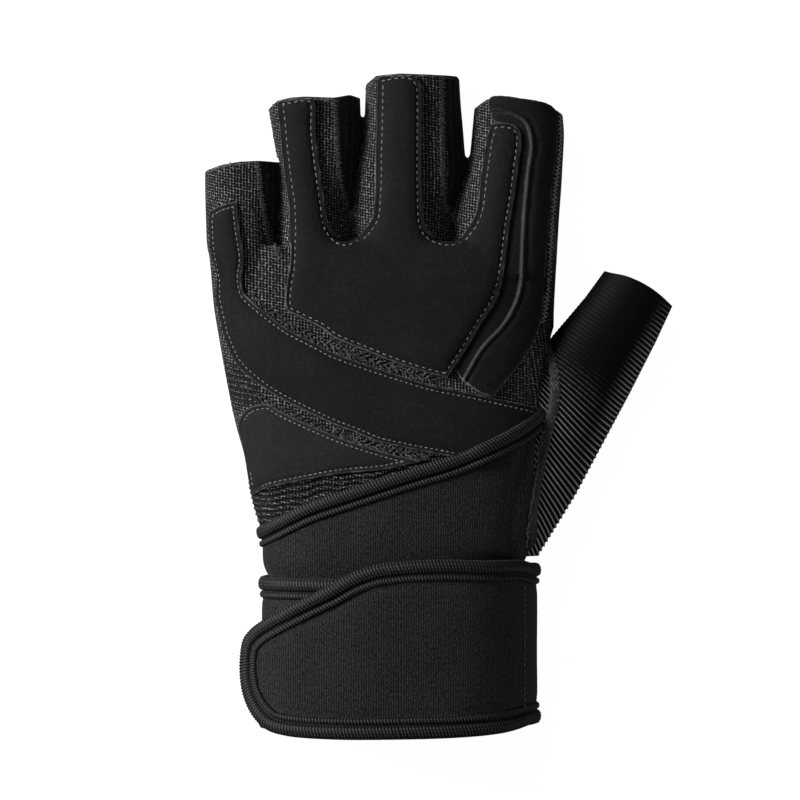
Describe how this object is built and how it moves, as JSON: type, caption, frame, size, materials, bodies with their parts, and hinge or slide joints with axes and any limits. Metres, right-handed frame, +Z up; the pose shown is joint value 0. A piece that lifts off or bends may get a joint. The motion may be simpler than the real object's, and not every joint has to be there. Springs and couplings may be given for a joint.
{
  "type": "weightlifting glove",
  "caption": "Right-hand training glove with open fingertips, padded suede palm, ribbed thumb sleeve, neoprene cuff and a wraparound wrist strap, lying palm up.",
  "frame": {"origin": "centre of the glove's footprint, on the surface that it lies on", "axes": "+Y from the wrist towards the fingertips, +Z up out of the palm, +X towards the thumb"},
  "size_m": [0.1396, 0.2002, 0.0521],
  "materials": {
    "knit": "matte open knit",
    "back_fabric": "smooth stretch fabric",
    "ribbed_fabric": "ribbed stretch fabric",
    "suede": "napped suede",
    "side_suede": "napped suede",
    "heel_suede": "napped suede",
    "neoprene": "fabric-faced foam rubber",
    "binding": "ribbed tape"
  },
  "bodies": {
    "root": {"palm_panel": "knit", "back_panel": "back_fabric", "thumb_sleeve": "ribbed_fabric", "palm_pad": "suede", "index_side_pad": "side_suede", "pinky_strap_pad": "suede", "heel_pad": "heel_suede", "cuff": "neoprene", "cuff_binding": "binding", "wrist_strap": "neoprene", "strap_binding": "binding"}
  },
  "joints": []
}
